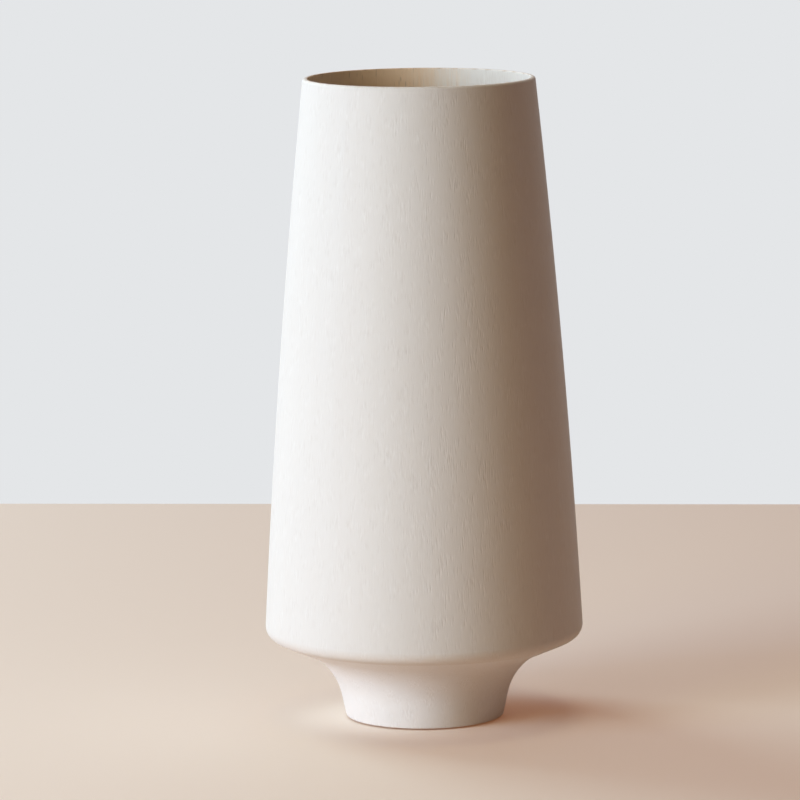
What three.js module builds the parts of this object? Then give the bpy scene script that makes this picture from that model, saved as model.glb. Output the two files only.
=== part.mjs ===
// A tall wooden vase: a ring of mitred staves turned to a thin lip, closed below by a
// base plate on a coved foot, with a felt pad under it and a lift-out glass liner.
// Millimetres, +Z up. The origin is on the vase's axis, on the surface it stands on.

import * as THREE from "three";

// Outer form
const height = 300;
const mouthRadius = 53.8; // outside, where the side would meet the top of the lip
const shoulderRadius = 74.5; // where the side would meet the underside, before the round
const shoulderHeight = 39.7;
const shoulderRound = 6;
const sideBow = 1.7; // how far the side swells out past a straight line
const neckRadius = 42.4; // where the foot's side would meet the underside, before the cove
const neckHeight = 25.7;
const coveRadius = 30;
const footRadius = 36.7; // at the surface that the vase stands on
const footEdgeRound = 0.6;

// Staves
const staveCount = 18;
const firstStaveTurn = 3; // degrees, from +X to the middle of the first stave
const wallAtLip = 2.2;
const lipOuterRound = 1.3;
const lipInnerRound = 0.4;
const wallAtFloor = 9.5;
const rebateWall = 6.8; // wood left outside the base plate, measured in from the shoulder
const glueLine = 0.3; // between any two glued faces

// Base plate and foot
const floorRise = 7.1; // the floor of the vase above the shoulder's height
const tenonRadius = 20;
const tenonChamfer = 1.5;
const mortiseWeb = 6; // wood left between the mortise and the liner's recess

// Felt pad
const padRadius = 33;
const padThickness = 2;
const padProud = 0.7; // how far the pad stands out below the foot
const padFit = 0.3;

// Glass liner
const linerDrop = 16; // the liner's rim below the lip
const linerPlay = 4; // round the liner's rim, inside the staves
const linerTaper = 4; // narrower at its base than at its rim, on the radius
const linerWall = 2.5;
const linerFloor = 4;
const linerPunt = 0.8; // how far the middle of the liner's base is pushed up
const linerRing = 8; // width of the ring that the liner stands on, heel round and all
const linerHeelRound = 5;
const linerSeatDepth = 2;
const linerFit = 0.6; // round the liner's base, in its seat
const linerSeatGap = 0.3; // under the liner

// How finely the round forms are faceted
const stepsPerStave = 4;
const turnedSteps = 60;
const linerSteps = 48;
const padSteps = 48;
const sideSteps = 9;

const whitewashedWood = new THREE.MeshStandardMaterial({
  color: 0xe6dfd6,
  roughness: 0.85,
  metalness: 0,
});
const clearGlass = new THREE.MeshStandardMaterial({
  color: 0xdce8e4,
  roughness: 0.05,
  metalness: 0,
  transparent: true,
  opacity: 0.35,
});
const greyFelt = new THREE.MeshStandardMaterial({
  color: 0x8d867c,
  roughness: 1,
  metalness: 0,
});

const point = (radius, z) => new THREE.Vector2(radius, z);

// Points on an arc, from one angle to another, both ends included.
function arc(centre, radius, from, to, steps) {
  const points = [];
  for (let i = 0; i <= steps; i += 1) {
    const angle = from + ((to - from) * i) / steps;
    points.push(point(centre.x + radius * Math.cos(angle), centre.y + radius * Math.sin(angle)));
  }
  return points;
}

// The corner at b, between lines to a and c, rounded as far as the shorter line allows.
function rounded(a, b, c, radius, steps) {
  const toA = a.clone().sub(b);
  const toC = c.clone().sub(b);
  const room = 0.9 * Math.min(toA.length(), toC.length());
  toA.normalize();
  toC.normalize();
  const halfAngle = Math.acos(toA.dot(toC)) / 2;
  const reach = Math.min(radius / Math.tan(halfAngle), room);
  const fitted = reach * Math.tan(halfAngle);
  const inward = toA.clone().add(toC).normalize();
  const centre = b.clone().addScaledVector(inward, fitted / Math.sin(halfAngle));
  const start = b.clone().addScaledVector(toA, reach).sub(centre).angle();
  const end = b.clone().addScaledVector(toC, reach).sub(centre).angle();
  const turn = THREE.MathUtils.euclideanModulo(end - start + Math.PI, 2 * Math.PI) - Math.PI;
  return arc(centre, fitted, start, start + turn, steps);
}

// The stretch of an outline whose x or y lies from low to high, cut exactly at both.
// Along the outline that coordinate only grows.
function stretch(points, axis, low, high) {
  const kept = [];
  for (let i = 0; i < points.length; i += 1) {
    const here = points[i];
    const before = points[i - 1];
    for (const limit of [low, high]) {
      if (before && before[axis] < limit && here[axis] > limit) {
        kept.push(before.clone().lerp(here, (limit - before[axis]) / (here[axis] - before[axis])));
      }
    }
    if (here[axis] >= low && here[axis] <= high) kept.push(here);
  }
  return kept;
}

// Outside radius of the bowed side at a height.
function sideRadius(z) {
  const share = (z - shoulderHeight) / (height - shoulderHeight);
  const straight = THREE.MathUtils.lerp(shoulderRadius, mouthRadius, share);
  return straight + sideBow * 4 * share * (1 - share);
}

// The wall thins evenly from the floor to the top of the lip.
function wallAt(z) {
  return THREE.MathUtils.mapLinear(z, floorHeight, height, wallAtFloor, wallAtLip);
}

const insideRadius = (z) => sideRadius(z) - wallAt(z);

const floorHeight = shoulderHeight + floorRise;
const rebateRadius = shoulderRadius - rebateWall;
const lipStart = height - lipOuterRound; // where the two walls run into the lip's rounds

// The outside below the side, from the foot's edge to the shoulder's round. The foot's
// glue face lies at the neck, and the shoulder is split at its widest point.
const footEdge = point(footRadius, 0);
const neck = point(neckRadius, neckHeight);
const shoulder = point(shoulderRadius, shoulderHeight);
const sideStart = point(sideRadius(shoulderHeight + shoulderRound), shoulderHeight + shoulderRound);
const shoulderCurve = rounded(neck, shoulder, sideStart, shoulderRound, 10);
const widest = shoulderCurve.reduce((best, p, i) => (p.x > shoulderCurve[best].x ? i : best), 0);
const lower = [
  footEdge,
  ...rounded(footEdge, neck, shoulder, coveRadius, 12),
  ...shoulderCurve.slice(0, widest + 1),
];
const upper = shoulderCurve.slice(widest + 1);

function sideBetween(fromZ, toZ, radiusAt) {
  const points = [];
  for (let i = 0; i <= sideSteps; i += 1) {
    const z = THREE.MathUtils.lerp(fromZ, toZ, i / sideSteps);
    points.push(point(radiusAt(z), z));
  }
  return points;
}

// The flat lip from outside to inside, with a full round outside and a small one inside.
function lipBetween(outerWall, innerWall) {
  const outerCorner = point(mouthRadius, height);
  const innerCorner = point(mouthRadius - wallAtLip, height);
  const flatStart = outerCorner.x - lipOuterRound;
  const flatEnd = innerCorner.x + lipInnerRound;
  const crown = point((flatStart + flatEnd) / 2, height);
  return [
    ...rounded(outerWall, outerCorner, crown, lipOuterRound, 5),
    ...rounded(crown, innerCorner, innerWall, lipInnerRound, 3),
  ];
}

// One stave's section, anticlockwise from the rebate's outer edge: underside, shoulder,
// side, lip, inner wall, ledge and rebate.
function staveSection() {
  const sideFoot = upper.length ? upper[upper.length - 1].y : lower[lower.length - 1].y;
  const side = sideBetween(sideFoot, lipStart, sideRadius).slice(1);
  const inside = sideBetween(lipStart, floorHeight + glueLine, insideRadius);
  return [
    ...stretch(lower, "x", rebateRadius, Infinity),
    ...upper,
    ...side,
    ...lipBetween(side[side.length - 1], inside[0]),
    ...inside,
    point(rebateRadius, floorHeight + glueLine),
  ];
}

// The section swept through one stave's share of the circle, about +Z. Its two edges are
// planed flat, parallel to the plane through the axis and half a glue line short of it.
function staveGeometry(section) {
  const halfPitch = Math.PI / staveCount;
  const positions = [];
  for (let step = 0; step <= stepsPerStave; step += 1) {
    for (const p of section) {
      const half = halfPitch - Math.asin(glueLine / 2 / p.x);
      const angle = half * ((2 * step) / stepsPerStave - 1);
      positions.push(p.x * Math.cos(angle), p.x * Math.sin(angle), p.y);
    }
  }
  const n = section.length;
  const index = [];
  for (let step = 0; step < stepsPerStave; step += 1) {
    for (let i = 0; i < n; i += 1) {
      const a = step * n + i;
      const b = step * n + ((i + 1) % n);
      index.push(a, a + n, b, b, a + n, b + n);
    }
  }
  const last = stepsPerStave * n;
  for (const [a, b, c] of THREE.ShapeUtils.triangulateShape(section, [])) {
    index.push(a, b, c);
    index.push(last + a, last + c, last + b);
  }
  const geometry = new THREE.BufferGeometry();
  geometry.setAttribute("position", new THREE.Float32BufferAttribute(positions, 3));
  geometry.setIndex(index);
  geometry.computeVertexNormals();
  return geometry;
}

// A piece turned about +Z, from a section that runs from the axis out and back to it.
function turned(section, steps) {
  return new THREE.LatheGeometry(section, steps).rotateX(Math.PI / 2);
}

const linerSeatHeight = floorHeight - linerSeatDepth;
const linerRimHeight = height - linerDrop;
const linerRimRadius = insideRadius(linerRimHeight) - linerPlay;
const linerBaseRadius = linerRimRadius - linerTaper;
const mortiseTop = linerSeatHeight - mortiseWeb;
const tenonTop = mortiseTop - glueLine;

function basePlateSection() {
  const plateRadius = rebateRadius - glueLine;
  const mortiseRadius = tenonRadius + glueLine;
  const outside = stretch(lower, "y", neckHeight + glueLine, Infinity);
  return [
    point(0, mortiseTop),
    point(mortiseRadius, mortiseTop),
    point(mortiseRadius, neckHeight + glueLine),
    ...stretch(outside, "x", 0, plateRadius),
    point(plateRadius, floorHeight),
    point(linerBaseRadius + linerFit, floorHeight),
    point(linerBaseRadius + linerFit, linerSeatHeight),
    point(0, linerSeatHeight),
  ];
}

function footSection() {
  const recessTop = padThickness + padFit;
  const side = stretch(lower, "y", padProud, neckHeight);
  const rimInside = point(padRadius + padFit, padProud);
  return [
    point(0, recessTop),
    point(padRadius + padFit, recessTop),
    rimInside,
    ...rounded(rimInside, side[0], side[1], footEdgeRound, 3),
    ...side.slice(1),
    point(tenonRadius, neckHeight),
    point(tenonRadius, tenonTop - tenonChamfer),
    point(tenonRadius - tenonChamfer, tenonTop),
    point(0, tenonTop),
  ];
}

function linerSection() {
  const base = linerSeatHeight + linerSeatGap;
  const puntRadius = linerBaseRadius - linerRing;
  const rim = linerRimHeight - linerWall / 2;
  const outerHeel = point(linerBaseRadius, base);
  const outerRim = point(linerRimRadius, rim);
  const innerRim = point(linerRimRadius - linerWall, rim);
  const innerHeel = point(linerBaseRadius - linerWall, base + linerFloor);
  const innerRound = linerHeelRound - linerWall;
  const rimCentre = outerRim.clone().add(innerRim).divideScalar(2);
  return [
    point(0, base + linerPunt),
    point(puntRadius - linerPunt, base + linerPunt),
    point(puntRadius, base),
    ...rounded(point(puntRadius, base), outerHeel, outerRim, linerHeelRound, 5),
    ...arc(rimCentre, linerWall / 2, 0, Math.PI, 6),
    ...rounded(innerRim, innerHeel, point(0, innerHeel.y), innerRound, 4),
    point(0, innerHeel.y),
  ];
}

function padSection() {
  return [
    point(0, 0),
    point(padRadius, 0),
    point(padRadius, padThickness),
    point(0, padThickness),
  ];
}

function piece(name, geometry, material) {
  const mesh = new THREE.Mesh(geometry, material);
  mesh.name = name;
  return mesh;
}

function staveRing() {
  const ring = new THREE.Group();
  const geometry = staveGeometry(staveSection());
  for (let i = 0; i < staveCount; i += 1) {
    const stave = piece(`stave_${String(i + 1).padStart(2, "0")}`, geometry, whitewashedWood);
    stave.rotation.z = THREE.MathUtils.degToRad(firstStaveTurn) + (2 * Math.PI * i) / staveCount;
    ring.add(stave);
  }
  return ring;
}

const vase = new THREE.Group();
vase.add(
  staveRing(),
  piece("base_plate", turned(basePlateSection(), turnedSteps), whitewashedWood),
  piece("foot", turned(footSection(), turnedSteps), whitewashedWood),
  piece("felt_pad", turned(padSection(), padSteps), greyFelt),
  piece("glass_liner", turned(linerSection(), linerSteps), clearGlass),
);

export default vase;
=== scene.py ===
import math

import bpy
from mathutils import Euler, Matrix, Vector


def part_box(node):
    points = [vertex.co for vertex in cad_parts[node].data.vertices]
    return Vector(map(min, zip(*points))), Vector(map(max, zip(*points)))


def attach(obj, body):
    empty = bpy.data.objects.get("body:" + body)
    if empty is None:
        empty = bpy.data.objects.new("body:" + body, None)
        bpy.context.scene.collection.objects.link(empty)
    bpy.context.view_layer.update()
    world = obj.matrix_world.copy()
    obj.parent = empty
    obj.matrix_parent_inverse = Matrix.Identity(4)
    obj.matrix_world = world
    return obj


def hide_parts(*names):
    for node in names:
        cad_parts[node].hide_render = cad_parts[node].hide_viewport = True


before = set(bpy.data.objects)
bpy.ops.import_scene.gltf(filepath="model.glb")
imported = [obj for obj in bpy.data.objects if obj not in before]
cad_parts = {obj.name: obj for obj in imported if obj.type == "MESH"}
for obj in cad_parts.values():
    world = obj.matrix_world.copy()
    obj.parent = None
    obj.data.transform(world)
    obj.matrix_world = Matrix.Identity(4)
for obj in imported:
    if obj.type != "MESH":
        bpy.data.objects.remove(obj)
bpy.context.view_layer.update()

# Metres, +Z up. The vase stands on the table at the origin.

# The vase's form, as it was turned
MOUTH_RADIUS = 0.0538  # outside, where the side would meet the top of the lip
SHOULDER_RADIUS = 0.0745  # where the side would meet the underside, before the round
SHOULDER_HEIGHT = 0.0397
SHOULDER_ROUND = 0.006
SIDE_BOW = 0.0017  # how far the side swells past a straight line, half way up
NECK_RADIUS = 0.0424
COVE_RADIUS = 0.030
FOOT_RADIUS = 0.0367
FOOT_EDGE_ROUND = 0.0006
WALL_AT_LIP = 0.0022
WALL_AT_FLOOR = 0.0095
LIP_OUTER_ROUND = 0.0013
LIP_INNER_ROUND = 0.0004

# How its pieces join
GLUE_LINE = 0.0003
PLATE_SEAM = GLUE_LINE / 10  # what shows of the glue line round the base plate
PLATE_EDGE_ROUND = 0.0004
TENON_RADIUS = 0.020
TENON_CHAMFER = 0.0015
SEAT_EDGE_ROUND = 0.0005  # the recess that the liner stands in
SEAT_CORNER_ROUND = 0.0003
RECESS_EDGE_ROUND = 0.0003  # the recess that holds the felt
PAD_FIT = 0.0003
PAD_LOWER_ROUND = 0.0004
PAD_UPPER_ROUND = 0.0003

# The liner
LINER_TAPER = 0.004
LINER_WALL = 0.0025
LINER_FLOOR = 0.004
LINER_HEEL_ROUND = 0.005
LINER_RING = 0.008  # the ring that it stands on
LINER_PUNT = 0.0008  # the hollow inside that ring
LINER_PUNT_ROUND = 0.0006
LINER_FIT = 0.0006

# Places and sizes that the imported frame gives
STAVES = sorted(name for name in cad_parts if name.startswith("stave_"))
PITCH = 2 * math.pi / len(STAVES)
FIRST_STAVE_TURN = math.radians(3)
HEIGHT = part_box(STAVES[0])[1].z
FLOOR_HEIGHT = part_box("base_plate")[1].z
NECK_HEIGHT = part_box("base_plate")[0].z - GLUE_LINE
NECK_SEAM = NECK_HEIGHT + GLUE_LINE / 2  # where the base plate and the foot meet
REBATE_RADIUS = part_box("base_plate")[1].x + GLUE_LINE
TENON_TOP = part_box("foot")[1].z
FOOT_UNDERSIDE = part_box("foot")[0].z
PAD_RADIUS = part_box("felt_pad")[1].x
PAD_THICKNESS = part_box("felt_pad")[1].z
LINER_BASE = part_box("glass_liner")[0].z
LINER_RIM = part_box("glass_liner")[1].z
LINER_RIM_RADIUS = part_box("glass_liner")[1].x
LINER_BASE_RADIUS = LINER_RIM_RADIUS - LINER_TAPER
LINER_SEAT = LINER_BASE - GLUE_LINE
LIP_START = HEIGHT - LIP_OUTER_ROUND

# Camera: far off with a long lens, looking a little down, not quite level
CAMERA_PLACE = (0, -2.394, 0.503)
CAMERA_LENS = 233.7
CAMERA_DIP = math.radians(8.402)
CAMERA_PAN = math.radians(0.245)
CAMERA_ROLL = math.radians(-0.596)


def make_camera():
    data = bpy.data.cameras.new("camera")
    data.lens = CAMERA_LENS
    camera = bpy.data.objects.new("camera", data)
    bpy.context.scene.collection.objects.link(camera)
    level = Euler((math.pi / 2 - CAMERA_DIP, 0, CAMERA_PAN)).to_matrix()
    camera.matrix_world = Matrix.Translation(CAMERA_PLACE) @ (
        level @ Matrix.Rotation(CAMERA_ROLL, 3, "Z")
    ).to_4x4()
    bpy.context.scene.camera = camera


# Shader nodes. Colours are linear red, green and blue.


def srgb(red, green, blue):
    """A colour read off a screen, 0 to 255, as the linear colour that shaders use."""
    shares = [value / 255 for value in (red, green, blue)]
    return tuple(
        s / 12.92 if s <= 0.04045 else ((s + 0.055) / 1.055) ** 2.4 for s in shares
    )


def node(tree, kind, inputs=None, **settings):
    """A shader node with its settings, and its inputs set or linked by name or place."""
    made = tree.nodes.new(kind)
    for name, value in settings.items():
        setattr(made, name, value)
    for name, value in (inputs or {}).items():
        socket = made.inputs[name]
        if isinstance(value, bpy.types.NodeSocket):
            tree.links.new(value, socket)
        elif socket.type == "RGBA":
            socket.default_value = (*value, 1)
        else:
            socket.default_value = value
    return made


def maths(tree, operation, *values, clamp=False):
    made = node(tree, "ShaderNodeMath", dict(enumerate(values)), operation=operation)
    made.use_clamp = clamp
    return made.outputs[0]


def times(tree, first, second):
    return maths(tree, "MULTIPLY", first, second)


def times_plus(tree, first, second, added):
    return maths(tree, "MULTIPLY_ADD", first, second, added)


def scaled(tree, vector, share):
    """A colour or a place with all three of its numbers scaled alike."""
    made = node(tree, "ShaderNodeVectorMath", {0: vector, "Scale": share}, operation="SCALE")
    return made.outputs[0]


def blend_colours(tree, share, first, second):
    """The first colour where share is 0 and the second where it is 1."""
    made = node(tree, "ShaderNodeMix", {0: share, 6: first, 7: second}, data_type="RGBA")
    return made.outputs[2]


def step_between(tree, value, low, high):
    """0 below low and 1 above high, with a smooth rise. High may be the smaller one."""
    made = node(
        tree,
        "ShaderNodeMapRange",
        {"Value": value, "From Min": low, "From Max": high},
        interpolation_type="SMOOTHSTEP",
    )
    return made.outputs[0]


def noise(tree, place, marks, detail=2.0):
    """Soft noise from 0 to 1, with so many marks to the metre."""
    made = node(tree, "ShaderNodeTexNoise", {"Vector": place, "Scale": marks, "Detail": detail})
    return made.outputs[0]


def new_material(name):
    material = bpy.data.materials.new(name)
    material.use_nodes = True
    tree = material.node_tree
    tree.nodes.clear()
    return material, tree


def finish_material(tree, shader):
    node(tree, "ShaderNodeOutputMaterial", {"Surface": shader.outputs[0]})


# The table, the wall behind it and the lamps

TABLE_BACK = 0.594  # from the vase to the table's back edge
TABLE_REACH = 0.9
TABLE_TURN = math.radians(-3.6)
TABLE_COLOUR = (0.738, 0.748, 0.687)  # as the camera, gloss and glass see it
TABLE_BOUNCE = (0.82, 0.60, 0.45)  # as the light that it throws back on the vase
TABLE_GLOW = (0.15, 0.05, 0.02)  # added only to what the camera, gloss and glass see
TABLE_ROUGHNESS = 0.7
TABLE_GLOSS = 0.2
WALL_COLOUR = (0.776, 0.791, 0.807)
ROOM_LIGHT = (0.055, 0.015, 0.005)
LAMP_DISTANCE = 1.8
LAMP_SIZE = 0.9
LAMP_AIM = Vector((0, 0, HEIGHT / 2))


def seen_rays(tree):
    """1 for what the camera, gloss and glass see, and 0 for light that falls on things."""
    path = node(tree, "ShaderNodeLightPath").outputs
    seen = maths(tree, "MAXIMUM", path["Is Camera Ray"], path["Is Glossy Ray"])
    return maths(tree, "MAXIMUM", seen, path["Is Transmission Ray"])


def make_room():
    """A plain pale wall that the camera, gloss and glass see, and a dim warm room light."""
    world = bpy.data.worlds.new("room")
    world.use_nodes = True
    tree = world.node_tree
    tree.nodes.clear()
    colour = blend_colours(tree, seen_rays(tree), ROOM_LIGHT, WALL_COLOUR)
    light = node(tree, "ShaderNodeBackground", {"Color": colour, "Strength": 1.0})
    node(tree, "ShaderNodeOutputWorld", {"Surface": light.outputs[0]})
    bpy.context.scene.world = world


def table_material():
    """Plain pale wood colour. Its underside lets the camera look up at the vase."""
    material, tree = new_material("table_top")
    seen = seen_rays(tree)
    top = node(
        tree,
        "ShaderNodeBsdfPrincipled",
        {
            "Base Color": blend_colours(tree, seen, TABLE_BOUNCE, TABLE_COLOUR),
            "Roughness": TABLE_ROUGHNESS,
            "Specular IOR Level": TABLE_GLOSS,
            "Emission Color": TABLE_GLOW,
            "Emission Strength": seen,
        },
    )
    clear = node(tree, "ShaderNodeBsdfTransparent")
    below = node(tree, "ShaderNodeNewGeometry").outputs["Backfacing"]
    sides = {0: below, 1: top.outputs[0], 2: clear.outputs[0]}
    finish_material(tree, node(tree, "ShaderNodeMixShader", sides))
    return material


def make_table():
    mesh = bpy.data.meshes.new("table")
    corners = [
        (-TABLE_REACH, -TABLE_REACH, 0),
        (TABLE_REACH, -TABLE_REACH, 0),
        (TABLE_REACH, TABLE_BACK, 0),
        (-TABLE_REACH, TABLE_BACK, 0),
    ]
    mesh.from_pydata(corners, [], [(0, 1, 2, 3)])
    mesh.materials.append(table_material())
    table = bpy.data.objects.new("table", mesh)
    table.rotation_euler.z = TABLE_TURN
    bpy.context.scene.collection.objects.link(table)


def make_lamp(name, turn, rise, power, colour):
    """A soft box that lights the vase and is never in the picture itself. Its turn is in
    degrees from the camera's side of the vase, and its rise in degrees above level."""
    data = bpy.data.lights.new(name, "AREA")
    data.shape = "SQUARE"
    data.size = LAMP_SIZE
    data.energy = power
    data.color = colour
    lamp = bpy.data.objects.new(name, data)
    swing = Euler((math.radians(-rise), 0, math.radians(turn))).to_matrix()
    towards = swing @ Vector((0, -1, 0))
    lamp.location = LAMP_AIM + towards * LAMP_DISTANCE
    lamp.rotation_euler = (-towards).to_track_quat("-Z", "Y").to_euler()
    lamp.visible_camera = False
    bpy.context.scene.collection.objects.link(lamp)


def make_lamps():
    make_lamp("front_soft_box", turn=-45, rise=18, power=10.0, colour=(1.0, 0.88, 0.48))
    make_lamp("window_soft_box", turn=-60, rise=12, power=25.9, colour=(0.57, 0.74, 1.0))
    make_lamp("back_soft_box", turn=-135, rise=35, power=14.6, colour=(0.82, 0.96, 1.0))
    make_lamp("top_soft_box", turn=180, rise=60, power=1.9, colour=(0.99, 0.83, 1.0))
    make_lamp("overhead_soft_box", turn=0, rise=88, power=6.25, colour=(1.0, 0.8, 0.56))


# Sections. A section is a list of points, each with a radius and a level.

RADIUS, LEVEL = 0, 1

# Steps along each round and wall
SHOULDER_STEPS = 20
COVE_STEPS = 48
SIDE_STEPS = 48
INNER_WALL_STEPS = 36
LIP_OUTER_STEPS = 12
LIP_INNER_STEPS = 8
FOOT_EDGE_STEPS = 8
SMALL_EDGE_STEPS = 4
SEAT_CORNER_STEPS = 3
PAD_LOWER_STEPS = 5
HEEL_STEPS = 14
INNER_HEEL_STEPS = 10
RIM_STEPS = 16


def arc(centre, radius, start, end, steps):
    """Points along an arc from one angle to the other, with both ends."""
    angles = [start + (end - start) * i / steps for i in range(steps + 1)]
    return [Vector((math.cos(a), math.sin(a))) * radius + centre for a in angles]


def rounded(a, b, c, radius, steps):
    """The corner at b, between lines to a and c, rounded to the radius."""
    a, b, c = Vector(a), Vector(b), Vector(c)
    to_a, to_c = (a - b).normalized(), (c - b).normalized()
    half = to_a.angle(to_c) / 2
    reach = radius / math.tan(half)
    centre = b + (to_a + to_c).normalized() * (radius / math.sin(half))
    first, last = b + to_a * reach - centre, b + to_c * reach - centre
    start = math.atan2(first.y, first.x)
    turn = math.remainder(math.atan2(last.y, last.x) - start, 2 * math.pi)
    return arc(centre, radius, start, start + turn, steps)


def side_radius(level):
    """The outer side above the shoulder: a straight taper with an even bow added."""
    share = (level - SHOULDER_HEIGHT) / (HEIGHT - SHOULDER_HEIGHT)
    straight = SHOULDER_RADIUS + (MOUTH_RADIUS - SHOULDER_RADIUS) * share
    return straight + SIDE_BOW * 4 * share * (1 - share)


def inside_radius(level):
    """The inner wall, which thins evenly from the floor to the lip."""
    share = (level - FLOOR_HEIGHT) / (HEIGHT - FLOOR_HEIGHT)
    return side_radius(level) - WALL_AT_FLOOR - (WALL_AT_LIP - WALL_AT_FLOOR) * share


def wall_points(start, end, radius_at, steps):
    """A wall from one level to another, with its radius at each."""
    levels = (start + (end - start) * i / steps for i in range(steps + 1))
    return [Vector((radius_at(level), level)) for level in levels]


def cut(points, axis, low, high):
    """The stretch of a section whose radius or level lies from low to high."""
    kept = []
    for before, here in zip([None] + points[:-1], points):
        for limit in (low, high):
            if before is not None and before[axis] < limit < here[axis]:
                share = (limit - before[axis]) / (here[axis] - before[axis])
                kept.append(before.lerp(here, share))
        if low <= here[axis] <= high:
            kept.append(here)
    return kept


def lower_outline():
    """From the foot's edge through the cove and the underside to the widest point, and
    then what is left of the shoulder's round above it."""
    edge = Vector((FOOT_RADIUS, 0))
    neck = Vector((NECK_RADIUS, NECK_HEIGHT))
    shoulder = Vector((SHOULDER_RADIUS, SHOULDER_HEIGHT))
    above = SHOULDER_HEIGHT + SHOULDER_ROUND
    side = Vector((side_radius(above), above))
    cove = rounded(edge, neck, shoulder, COVE_RADIUS, COVE_STEPS)
    turn = rounded(neck, shoulder, side, SHOULDER_ROUND, SHOULDER_STEPS)
    past_widest = max(range(len(turn)), key=lambda i: turn[i].x) + 1
    return [edge, *cove, *turn[:past_widest]], turn[past_widest:]


def lip_between(outer_wall, inner_wall):
    """The flat lip, with a full round on its outer edge and a small one inside."""
    outer_corner = Vector((MOUTH_RADIUS, HEIGHT))
    inner_corner = Vector((MOUTH_RADIUS - WALL_AT_LIP, HEIGHT))
    crown_radius = (outer_corner.x - LIP_OUTER_ROUND + inner_corner.x + LIP_INNER_ROUND) / 2
    crown = Vector((crown_radius, HEIGHT))
    return [
        *rounded(outer_wall, outer_corner, crown, LIP_OUTER_ROUND, LIP_OUTER_STEPS),
        *rounded(crown, inner_corner, inner_wall, LIP_INNER_ROUND, LIP_INNER_STEPS),
    ]


def stave_section():
    """Anticlockwise: underside, shoulder, side, lip, inner wall, ledge and rebate."""
    below, turn = lower_outline()
    side = wall_points(turn[-1].y, LIP_START, side_radius, SIDE_STEPS)
    ledge = FLOOR_HEIGHT + GLUE_LINE
    inside = wall_points(LIP_START, ledge, inside_radius, INNER_WALL_STEPS)
    lip = lip_between(side[-1], inside[0])
    underside = cut(below, RADIUS, REBATE_RADIUS, math.inf)
    return [*underside, *turn, *side[1:], *lip, *inside, Vector((REBATE_RADIUS, ledge))]


def base_plate_section():
    """The mortise, the underside, the edge in the rebate, the floor and the liner's seat."""
    mortise_radius, mortise_top = TENON_RADIUS + GLUE_LINE, TENON_TOP + GLUE_LINE
    plate_radius = REBATE_RADIUS - PLATE_SEAM
    seat_radius = LINER_BASE_RADIUS + LINER_FIT
    upper_edge = (plate_radius, FLOOR_HEIGHT)
    seat_edge = (seat_radius, FLOOR_HEIGHT)
    seat_corner = (seat_radius, LINER_SEAT)
    below = cut(lower_outline()[0], LEVEL, NECK_SEAM, math.inf)
    return [
        (0, mortise_top),
        (mortise_radius, mortise_top),
        (mortise_radius, NECK_SEAM),
        *cut(below, RADIUS, 0, plate_radius),
        *rounded((plate_radius, 0), upper_edge, seat_edge, PLATE_EDGE_ROUND, SMALL_EDGE_STEPS),
        *rounded(upper_edge, seat_edge, seat_corner, SEAT_EDGE_ROUND, SMALL_EDGE_STEPS),
        *rounded(seat_edge, seat_corner, (0, LINER_SEAT), SEAT_CORNER_ROUND, SEAT_CORNER_STEPS),
        (0, LINER_SEAT),
    ]


def foot_section():
    """The felt's recess, the foot's edge, the cove and the tenon."""
    recess_top = (PAD_RADIUS + PAD_FIT, PAD_THICKNESS + PAD_FIT)
    recess_edge = (PAD_RADIUS + PAD_FIT, FOOT_UNDERSIDE)
    side = cut(lower_outline()[0], LEVEL, FOOT_UNDERSIDE, NECK_SEAM)
    return [
        (0, PAD_THICKNESS + PAD_FIT),
        recess_top,
        *rounded(recess_top, recess_edge, side[0], RECESS_EDGE_ROUND, SMALL_EDGE_STEPS),
        *rounded(recess_edge, side[0], side[1], FOOT_EDGE_ROUND, FOOT_EDGE_STEPS),
        *side[1:],
        (TENON_RADIUS, NECK_SEAM),
        (TENON_RADIUS, TENON_TOP - TENON_CHAMFER),
        (TENON_RADIUS - TENON_CHAMFER, TENON_TOP),
        (0, TENON_TOP),
    ]


def liner_section():
    """The punt, the ring, the heel, the outer wall, the round rim and the inside."""
    rim = LINER_RIM - LINER_WALL / 2
    punt_radius = LINER_BASE_RADIUS - LINER_RING
    punt_middle = (0, LINER_BASE + LINER_PUNT)
    punt_top = Vector((punt_radius - LINER_PUNT, LINER_BASE + LINER_PUNT))
    ring = Vector((punt_radius, LINER_BASE))
    heel = Vector((LINER_BASE_RADIUS, LINER_BASE))
    outer_rim = Vector((LINER_RIM_RADIUS, rim))
    inner_rim = Vector((LINER_RIM_RADIUS - LINER_WALL, rim))
    inner_heel = Vector((LINER_BASE_RADIUS - LINER_WALL, LINER_BASE + LINER_FLOOR))
    inner_middle = (0, LINER_BASE + LINER_FLOOR)
    inner_round = LINER_HEEL_ROUND - LINER_WALL
    return [
        punt_middle,
        *rounded(punt_middle, punt_top, ring, LINER_PUNT_ROUND, SMALL_EDGE_STEPS),
        *rounded(punt_top, ring, heel, LINER_PUNT_ROUND, SMALL_EDGE_STEPS),
        *rounded(ring, heel, outer_rim, LINER_HEEL_ROUND, HEEL_STEPS),
        *arc((outer_rim + inner_rim) / 2, LINER_WALL / 2, 0, math.pi, RIM_STEPS),
        *rounded(inner_rim, inner_heel, inner_middle, inner_round, INNER_HEEL_STEPS),
        inner_middle,
    ]


def pad_section():
    lower_edge, upper_edge = (PAD_RADIUS, 0), (PAD_RADIUS, PAD_THICKNESS)
    top_middle = (0, PAD_THICKNESS)
    return [
        (0, 0),
        *rounded((0, 0), lower_edge, upper_edge, PAD_LOWER_ROUND, PAD_LOWER_STEPS),
        *rounded(lower_edge, upper_edge, top_middle, PAD_UPPER_ROUND, SMALL_EDGE_STEPS),
        top_middle,
    ]


# Meshes

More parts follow.
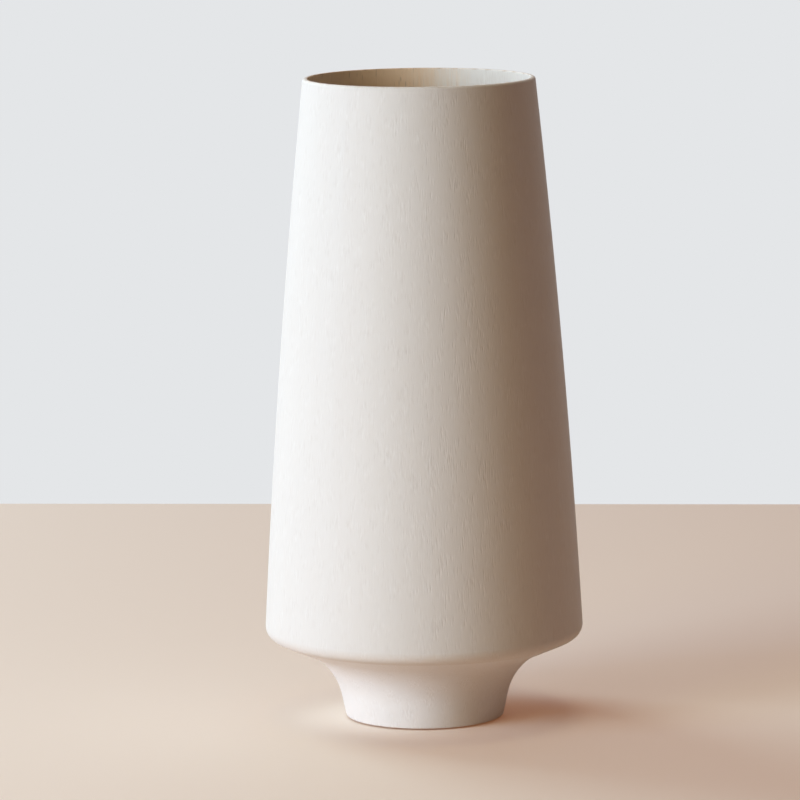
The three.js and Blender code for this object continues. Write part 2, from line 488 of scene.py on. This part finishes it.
TURNED_STEPS = 180
STAVE_STEPS = 10
STAVE_ARRIS = 0.00003  # the tiny chamfer along each stave's edges
SHARP = math.radians(28)


def swung(point, angle):
    """A section's point or direction, swung round the axis to an angle."""
    return point.x * math.cos(angle), point.x * math.sin(angle), point.y


def turned_mesh(name, section):
    """A closed mesh turned about the axis, from a section that starts and ends on it."""
    points = [Vector(p) for p in section]
    ring = points[1:-1]
    vertices = [(0, 0, points[0].y), (0, 0, points[-1].y)]
    for step in range(TURNED_STEPS):
        angle = 2 * math.pi * step / TURNED_STEPS
        vertices += [swung(p, angle) for p in ring]
    faces = []
    for step in range(TURNED_STEPS):
        here = 2 + step * len(ring)
        there = 2 + (step + 1) % TURNED_STEPS * len(ring)
        faces.append((there, here, 0))
        faces += [
            (here + i, there + i, there + i + 1, here + i + 1) for i in range(len(ring) - 1)
        ]
        faces.append((1, here + len(ring) - 1, there + len(ring) - 1))
    mesh = bpy.data.meshes.new(name)
    mesh.from_pydata(vertices, [], faces)
    mesh.shade_smooth()
    mesh.set_sharp_from_angle(angle=SHARP)
    return mesh


def stretch_normals(section):
    """For each line of a closed section, the outward normals at its two ends, shared
    with the next line where the corner between them is soft."""
    count = len(section)
    across = []
    for i in range(count):
        along = (section[(i + 1) % count] - section[i]).normalized()
        across.append(Vector((along.y, -along.x)))
    shared = []
    for i in range(count):
        before, here = across[i - 1], across[i]
        soft = before.angle(here) < SHARP
        mean = (before + here).normalized()
        shared.append((mean if soft else before, mean if soft else here))
    return [(shared[i][1], shared[(i + 1) % count][0]) for i in range(count)]


def stave_mesh(name, section):
    """One stave about +X: the section swept through its share of the circle, with both
    edges planed flat. Its curved faces carry the exact normals of the turned form."""
    count = len(section)
    normals = stretch_normals(section)
    inset = [
        p - (normals[i - 1][1] + normals[i][0]).normalized() * STAVE_ARRIS
        for i, p in enumerate(section)
    ]
    reach = PITCH / 2 - STAVE_ARRIS / MOUTH_RADIUS
    between = [(2 * i / STAVE_STEPS - 1) * reach for i in range(STAVE_STEPS + 1)]
    stations = [(-PITCH / 2, inset), *((a, section) for a in between), (PITCH / 2, inset)]
    vertices = []
    for angle, outline in stations:
        vertices += [swung(p, angle) for p in outline]
    faces, corner_normals = [], []
    for s in range(len(stations) - 1):
        here, there = s * count, (s + 1) * count
        for i in range(count):
            j = (i + 1) % count
            faces.append((here + i, there + i, there + j, here + j))
            for end, station in ((0, s), (0, s + 1), (1, s + 1), (1, s)):
                corner_normals.append(swung(normals[i][end], stations[station][0]))
    last = (len(stations) - 1) * count
    for first, side, order in ((0, -1, 1), (last, 1, -1)):
        faces.append(tuple(range(first, first + count))[::order])
        edge = (-side * math.sin(side * PITCH / 2), side * math.cos(side * PITCH / 2), 0)
        corner_normals += [edge] * count
    mesh = bpy.data.meshes.new(name)
    mesh.from_pydata(vertices, [], faces)
    mesh.shade_smooth()
    mesh.normals_split_custom_set(corner_normals)
    return mesh


# What the finishes share. Each pair of marks is how many lie in a metre across the
# grain, and how many along it. Noise runs from 0 to 1.

VECTOR, NUMBER = "NodeSocketVector", "NodeSocketFloat"
MIDDLE = 0.5  # of a noise, and of the fibres' height
BOARDS_APART = (0.031, 0.047, 0.053)  # between the patterns of one board and the next

FIBRE_MARKS = (1350.0, 190.0)
FIBRE_PATCH_MARKS = (230.0, 150.0)
FIBRE_PATCH_EDGES = (0.4, 0.7)
FIBRES_BETWEEN_PATCHES = 0.15
FIBRES_ADDED_IN_PATCHES = 1.2

PORE_MARKS = (950.0, 130.0)
PORE_EDGES = (0.36, 0.12)

CLOUD_MARKS = (60.0, 8.0)
CLOUD_SHARE = 0.5
STREAK_MARKS = (420.0, 12.0)
STREAK_SHARE = 0.5
BOARD_SHARE = 0.25

WEAR_REACH = 0.0011
WEAR_MARKS = 220.0
WEAR_EDGES = (0.35, 0.7)

INNER_STREAK_MARKS = (500.0, 60.0)
RAGGED_BY_STREAKS = 0.018  # how far the edge of the painted shade inside wanders
RAGGED_BY_BOARDS = 0.008
PAINTED_LIGHT_SIDE = 0.028  # painted light: the whitest wash is full to the right of this, and painted shade of bare wood full at the next
PAINTED_SHADE_SIDE = -0.002
BRUSHED_DEPTH = 0.012  # under the lip: the whitest wash full down to this, and the bare brown, partly painted shade, full at the next
BARE_DEPTH = 0.034
SEAM_EDGES = (0.00045, 0.0001)  # from the seam: clear outside, dark inside
SEAM_BREAKS = (0.48, 0.66)
SEAM_UNDER_WASH = 0.2
SEAM_ADDED_BARE = 0.8


def new_group(name, inputs, outputs):
    """A node group with named inputs and outputs, each of the kind VECTOR or NUMBER."""
    tree = bpy.data.node_groups.new(name, "ShaderNodeTree")
    for label, kind in inputs.items():
        tree.interface.new_socket(label, in_out="INPUT", socket_type=kind)
    for label, kind in outputs.items():
        tree.interface.new_socket(label, in_out="OUTPUT", socket_type=kind)
    return tree, node(tree, "NodeGroupInput").outputs


def use_group(tree, group, inputs):
    return node(tree, "ShaderNodeGroup", inputs, node_tree=group).outputs


def along_grain(tree, place, marks):
    """The place scaled so that marks lie close across the grain and long along it."""
    across, along = marks
    scales = (across, across, along)
    made = node(tree, "ShaderNodeVectorMath", {0: place, 1: scales}, operation="MULTIPLY")
    return made.outputs[0]


def grain_noise(tree, place, marks, detail):
    return noise(tree, along_grain(tree, place, marks), 1.0, detail)


def board_value(tree, board):
    """A value from 0 to 1 that each board has for itself."""
    made = node(tree, "ShaderNodeTexWhiteNoise", {"W": board}, noise_dimensions="1D")
    return made.outputs["Value"]


def board_place_group():
    """Where a point lies in its own board, so that no two boards share a pattern."""
    tree, given = new_group("board_place", {"Place": VECTOR, "Board": NUMBER}, {"Place": VECTOR})
    apart = scaled(tree, BOARDS_APART, given["Board"])
    moved = node(tree, "ShaderNodeVectorMath", {0: given["Place"], 1: apart}, operation="ADD")
    node(tree, "NodeGroupOutput", {"Place": moved.outputs[0]})
    return tree


def fibre_grain_group():
    """Fine upright fibres, raised by the wash and gathered in loose patches."""
    tree, given = new_group("fibre_grain", {"Place": VECTOR}, {"Fibres": NUMBER})
    fibres = grain_noise(tree, given["Place"], FIBRE_MARKS, 1.0)
    patches = grain_noise(tree, given["Place"], FIBRE_PATCH_MARKS, 1.0)
    in_patch = step_between(tree, patches, *FIBRE_PATCH_EDGES)
    depth = times_plus(tree, in_patch, FIBRES_ADDED_IN_PATCHES, FIBRES_BETWEEN_PATCHES)
    raised = maths(tree, "SUBTRACT", fibres, MIDDLE)
    node(tree, "NodeGroupOutput", {"Fibres": times_plus(tree, raised, depth, MIDDLE)})
    return tree


def pore_strokes_group():
    """Sparse short upright pores that the wash hasn't filled."""
    tree, given = new_group(
        "pore_strokes", {"Place": VECTOR, "Share": NUMBER}, {"Strokes": NUMBER}
    )
    cells = along_grain(tree, given["Place"], PORE_MARKS)
    pores = node(tree, "ShaderNodeTexVoronoi", {"Vector": cells, "Scale": 1.0}).outputs
    stroke = step_between(tree, pores["Distance"], *PORE_EDGES)
    pick = node(tree, "ShaderNodeSeparateColor", {0: pores["Color"]}).outputs[0]
    unfilled = maths(tree, "LESS_THAN", pick, given["Share"])
    node(tree, "NodeGroupOutput", {"Strokes": times(tree, stroke, unfilled)})
    return tree


def wash_tone_group():
    """How thin the wash lies: broad soft clouds, streaks drawn out along the grain, and a
    step from one board to the next."""
    tree, given = new_group(
        "wash_tone", {"Place": VECTOR, "Board": NUMBER}, {"Thinness": NUMBER}
    )
    clouds = grain_noise(tree, given["Place"], CLOUD_MARKS, 2.0)
    streaks = grain_noise(tree, given["Place"], STREAK_MARKS, 2.0)
    thinness = times(tree, board_value(tree, given["Board"]), BOARD_SHARE)
    thinness = times_plus(tree, clouds, CLOUD_SHARE, thinness)
    thinness = times_plus(tree, streaks, STREAK_SHARE, thinness)
    node(tree, "NodeGroupOutput", {"Thinness": thinness})
    return tree


def worn_edge_group():
    """A band at a height where handling has rubbed the wash thin, broken up by noise."""
    tree, given = new_group(
        "worn_edge", {"Place": VECTOR, "Height": NUMBER}, {"Wear": NUMBER}
    )
    height = node(tree, "ShaderNodeSeparateXYZ", {0: given["Place"]}).outputs[2]
    away = maths(tree, "ABSOLUTE", maths(tree, "SUBTRACT", height, given["Height"]))
    near = step_between(tree, away, WEAR_REACH, 0.0)
    patchy = step_between(tree, noise(tree, given["Place"], WEAR_MARKS), *WEAR_EDGES)
    node(tree, "NodeGroupOutput", {"Wear": times(tree, near, patchy)})
    return tree


def painted_inner_shade_group():
    """Inside the mouth, painted light and painted shade. The whitest wash covers the lit side of
    the wall down to a little under the lip, as painted light. The shaded side and the rest of the
    inner wall are left bare, as painted shade, and deeper down the bare wood is partly real. The
    seams between the boards are open in places."""
    tree, given = new_group(
        "painted_inner_shade",
        {"Place": VECTOR, "Turn": NUMBER, "Board": NUMBER, "Inside": NUMBER},
        {"Bare_and_painted_shade": NUMBER, "Seams": NUMBER},
    )
    x, y, level = node(tree, "ShaderNodeSeparateXYZ", {0: given["Place"]}).outputs
    angle = maths(tree, "ARCTAN2", y, x)
    radius = maths(tree, "SQRT", times_plus(tree, x, x, times(tree, y, y)))
    streaks = grain_noise(tree, given["Place"], INNER_STREAK_MARKS, 2.0)

    # Where the painted light of the wash ends and the painted shade begins, to the side and down
    ragged = times(tree, maths(tree, "SUBTRACT", streaks, MIDDLE), RAGGED_BY_STREAKS)
    own = board_value(tree, given["Board"])
    ragged = times_plus(tree, own, RAGGED_BY_BOARDS, ragged)
    around = maths(tree, "ADD", angle, given["Turn"])
    sideways = times_plus(tree, maths(tree, "COSINE", around), radius, ragged)
    # Painted shade on the side of the inner wall away from the lamps
    beside = step_between(tree, sideways, PAINTED_LIGHT_SIDE, PAINTED_SHADE_SIDE)
    upwards = maths(tree, "ADD", level, ragged)
    # Deeper down the wall is bare wood, partly real and partly painted shade
    below = step_between(tree, upwards, HEIGHT - BRUSHED_DEPTH, HEIGHT - BARE_DEPTH)
    bare_and_painted_shade = maths(tree, "MAXIMUM", beside, below)

    # The seams, which lie half a board to either side
    half_board = maths(tree, "SUBTRACT", PITCH / 2, maths(tree, "ABSOLUTE", angle))
    line = step_between(tree, times(tree, half_board, radius), *SEAM_EDGES)
    broken = step_between(tree, streaks, *SEAM_BREAKS)
    unfilled = times_plus(tree, bare_and_painted_shade, SEAM_ADDED_BARE, SEAM_UNDER_WASH)
    seams = times(tree, times(tree, line, broken), times(tree, given["Inside"], unfilled))
    node(tree, "NodeGroupOutput", {"Bare_and_painted_shade": bare_and_painted_shade, "Seams": seams})
    return tree


# Washed wood

WASH_COLOUR = srgb(234, 233, 230)
# Painted light: a lighter, cooler wash on the foot and the base plate, standing in for light that
# falls under the shoulder
PAINTED_LIGHT_TURNED_WASH_COLOUR = srgb(242, 243, 243)
WOOD_COLOUR = srgb(188, 158, 126)
PORE_COLOUR = srgb(140, 114, 90)
# Painted light: the whitest wash, on the lit side of the inner wall
PAINTED_LIGHT_INNER_WASH_COLOUR = srgb(253, 251, 248)  # on the inner wall
# Painted shade: a warm brown on the shaded side and the depths of the inner wall, partly real
# bare wood deeper down
PAINTED_SHADE_INNER_COLOUR = srgb(252, 222, 191)
SEAM_COLOUR = srgb(96, 74, 56)

# How much each thing lets show of what lies under the wash
THIN_WASH_SHOWS = 0.08
HOLLOW_SHOWS = 0.12
WEAR_SHOWS = 0.3
INSIDE_SHOWS = 1.5  # times what shows outside
SEAM_SHOWS = 0.35
PORE_SHOWS = 0.035
PORE_SHOWS_BARE = 0.3  # added to that

FIBRE_SHADE = 0.11  # from the deepest fibre to the highest
FIBRE_RELIEF = 0.000095
PORE_RELIEF = 0.2  # as a share of the fibres' own
WOOD_ROUGHNESS = 0.62
PORE_ROUGHNESS = 0.2  # added to that
WOOD_GLOSS = 0.35
STAVE_PORES = 0.3  # the share of the pores that the wash hasn't filled
TURNED_PORES = 0.2


def washed_wood(name, groups, wash_colour, edge_height, pore_share):
    """Pale wood under a thin matt white wash, with fine fibres and pores along the grain."""
    material, tree = new_material(name)
    place = node(tree, "ShaderNodeTexCoord").outputs["Object"]
    board, turn, inside = (
        node(tree, "ShaderNodeAttribute", attribute_name=label).outputs["Fac"]
        for label in ("board", "turn", "inside")
    )
    own = use_group(tree, groups["place"], {"Place": place, "Board": board})["Place"]
    fibres = use_group(tree, groups["fibres"], {"Place": own})["Fibres"]
    strokes = use_group(tree, groups["pores"], {"Place": own, "Share": pore_share})["Strokes"]
    thinness = use_group(tree, groups["wash"], {"Place": own, "Board": board})["Thinness"]
    wear = use_group(tree, groups["edge"], {"Place": place, "Height": edge_height})["Wear"]
    inner = use_group(
        tree,
        groups["inside"],
        {"Place": place, "Turn": turn, "Board": board, "Inside": inside},
    )

    # The wood through the wash, outside and then inside
    shown = times(tree, thinness, THIN_WASH_SHOWS)
    shown = times_plus(tree, maths(tree, "SUBTRACT", MIDDLE, fibres), HOLLOW_SHOWS, shown)
    shown = maths(tree, "MULTIPLY_ADD", wear, WEAR_SHOWS, shown, clamp=True)
    outer_colour = blend_colours(tree, shown, wash_colour, WOOD_COLOUR)
    # Painted light and shade inside: the lit side of the inner wall whiter, its shaded side and
    # depths warm brown
    inner_painted_light_and_shade = blend_colours(tree, inner["Bare_and_painted_shade"], PAINTED_LIGHT_INNER_WASH_COLOUR, PAINTED_SHADE_INNER_COLOUR)
    inner_shown = times(tree, shown, INSIDE_SHOWS)
    inner_colour = blend_colours(tree, inner_shown, inner_painted_light_and_shade, WOOD_COLOUR)
    colour = blend_colours(tree, inside, outer_colour, inner_colour)

    # The seams, the pores and the shade of the fibres
    colour = blend_colours(tree, times(tree, inner["Seams"], SEAM_SHOWS), colour, SEAM_COLOUR)
    painted_inner_shade = times(tree, inside, inner["Bare_and_painted_shade"])
    pore_shows = times_plus(tree, painted_inner_shade, PORE_SHOWS_BARE, PORE_SHOWS)
    colour = blend_colours(tree, times(tree, strokes, pore_shows), colour, PORE_COLOUR)
    shade = times_plus(tree, fibres, FIBRE_SHADE, 1 - FIBRE_SHADE / 2)
    colour = scaled(tree, colour, shade)

    relief = times_plus(tree, strokes, -PORE_RELIEF, fibres)
    bump = node(
        tree,
        "ShaderNodeBump",
        {"Strength": 1.0, "Distance": FIBRE_RELIEF, "Height": relief},
    )
    shader = node(
        tree,
        "ShaderNodeBsdfPrincipled",
        {
            "Base Color": colour,
            "Roughness": times_plus(tree, strokes, PORE_ROUGHNESS, WOOD_ROUGHNESS),
            "Specular IOR Level": WOOD_GLOSS,
            "Normal": bump.outputs[0],
        },
    )
    finish_material(tree, shader)
    return material


# Felt

FELT_COLOUR = srgb(120, 112, 104)
FELT_DARK = tuple(0.62 * c for c in FELT_COLOUR)
FELT_LIGHT = tuple(1.35 * c for c in FELT_COLOUR)
FELT_FIBRE_MARKS = 1800.0
FELT_CLUMP_MARKS = 260.0
FELT_FIBRE_SHARE = 0.7
FELT_CLUMP_SHARE = 0.3
FELT_TONE_EDGES = (0.3, 0.7)
FELT_RELIEF = 0.0003


def pressed_felt():
    """Grey wool felt, with short fibres in loose clumps."""
    material, tree = new_material("pressed_felt")
    place = node(tree, "ShaderNodeTexCoord").outputs["Object"]
    fibres = noise(tree, place, FELT_FIBRE_MARKS, detail=4.0)
    clumps = times(tree, noise(tree, place, FELT_CLUMP_MARKS), FELT_CLUMP_SHARE)
    tone = times_plus(tree, fibres, FELT_FIBRE_SHARE, clumps)
    share = step_between(tree, tone, *FELT_TONE_EDGES)
    bump = node(
        tree,
        "ShaderNodeBump",
        {"Strength": 0.6, "Distance": FELT_RELIEF, "Height": tone},
    )
    shader = node(
        tree,
        "ShaderNodeBsdfPrincipled",
        {
            "Base Color": blend_colours(tree, share, FELT_DARK, FELT_LIGHT),
            "Roughness": 0.95,
            "Specular IOR Level": 0.15,
            "Sheen Weight": 0.4,
            "Sheen Roughness": 0.6,
            "Normal": bump.outputs[0],
        },
    )
    finish_material(tree, shader)
    return material


# Glass

GLASS_COLOUR = (0.94, 0.985, 0.965)
GLASS_PASSES = (0.93, 0.97, 0.95)  # of the light that goes straight through
RIPPLE_MARKS = 45.0
RIPPLE_DEPTH = 0.0004


def liner_glass():
    """Clear glass with a faint cast. The lamps' light and the light that the wood throws
    back pass straight through it."""
    material, tree = new_material("liner_glass")
    place = node(tree, "ShaderNodeTexCoord").outputs["Object"]
    ripple = noise(tree, place, RIPPLE_MARKS, detail=1.0)
    bump = node(
        tree,
        "ShaderNodeBump",
        {"Strength": 0.15, "Distance": RIPPLE_DEPTH, "Height": ripple},
    )
    glass = node(
        tree,
        "ShaderNodeBsdfPrincipled",
        {
            "Base Color": GLASS_COLOUR,
            "Roughness": 0.0,
            "IOR": 1.5,
            "Transmission Weight": 1.0,
            "Normal": bump.outputs[0],
        },
    )
    clear = node(tree, "ShaderNodeBsdfTransparent", {"Color": GLASS_PASSES})
    path = node(tree, "ShaderNodeLightPath").outputs
    passing = maths(tree, "MAXIMUM", path["Is Shadow Ray"], path["Is Diffuse Ray"])
    ways = {0: passing, 1: glass.outputs[0], 2: clear.outputs[0]}
    finish_material(tree, node(tree, "ShaderNodeMixShader", ways))
    return material


# Pieces


def add_piece(name, mesh, material, node_name, body="vase", turn=0.0):
    """A piece that rides on a body and stands for the node of the frame."""
    mesh.materials.append(material)
    piece = bpy.data.objects.new(name, mesh)
    piece.rotation_euler.z = turn
    bpy.context.scene.collection.objects.link(piece)
    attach(piece, body)
    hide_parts(node_name)


def make_staves(material):
    """The staves, all of one form. Each has its own number, for its own grain, its turn, which
    keeps the painted shade inside on one side of the vase, and a mark on the points of its inner
    wall."""
    pattern = stave_mesh("stave", stave_section())
    inside = [
        float(math.hypot(v.co.x, v.co.y) < inside_radius(v.co.z) + LIP_INNER_ROUND / 2)
        for v in pattern.vertices
    ]
    for i, name in enumerate(STAVES):
        mesh = pattern.copy()
        turn = FIRST_STAVE_TURN + PITCH * i
        marks = {"board": [i + 1.0] * len(inside), "turn": [turn] * len(inside), "inside": inside}
        for label, values in marks.items():
            mesh.attributes.new(label, "FLOAT", "POINT").data.foreach_set("value", values)
        add_piece("washed_" + name, mesh, material, name, turn=turn)
    bpy.data.meshes.remove(pattern)


def make_turned(name, section, material, node_name, body="vase"):
    add_piece(name, turned_mesh(name, section), material, node_name, body)


def make_vase():
    groups = {
        "place": board_place_group(),
        "fibres": fibre_grain_group(),
        "pores": pore_strokes_group(),
        "wash": wash_tone_group(),
        "edge": worn_edge_group(),
        "inside": painted_inner_shade_group(),
    }
    stave_wood = washed_wood("washed_stave_wood", groups, WASH_COLOUR, HEIGHT, STAVE_PORES)
    # The plate and the foot take the lighter wash, which is painted light
    plate_wood = washed_wood(
        "washed_plate_wood", groups, PAINTED_LIGHT_TURNED_WASH_COLOUR, FLOOR_HEIGHT, TURNED_PORES
    )
    foot_wood = washed_wood(
        "washed_foot_wood", groups, PAINTED_LIGHT_TURNED_WASH_COLOUR, FOOT_UNDERSIDE, TURNED_PORES
    )
    make_staves(stave_wood)
    make_turned("turned_plate", base_plate_section(), plate_wood, "base_plate")
    make_turned("turned_foot", foot_section(), foot_wood, "foot")
    make_turned("felt_disc", pad_section(), pressed_felt(), "felt_pad")
    make_turned(
        "glass_tumbler", liner_section(), liner_glass(), "glass_liner", "liner"
    )


bpy.context.scene.view_settings.view_transform = "Standard"
make_camera()
make_room()
make_table()
make_lamps()
make_vase()
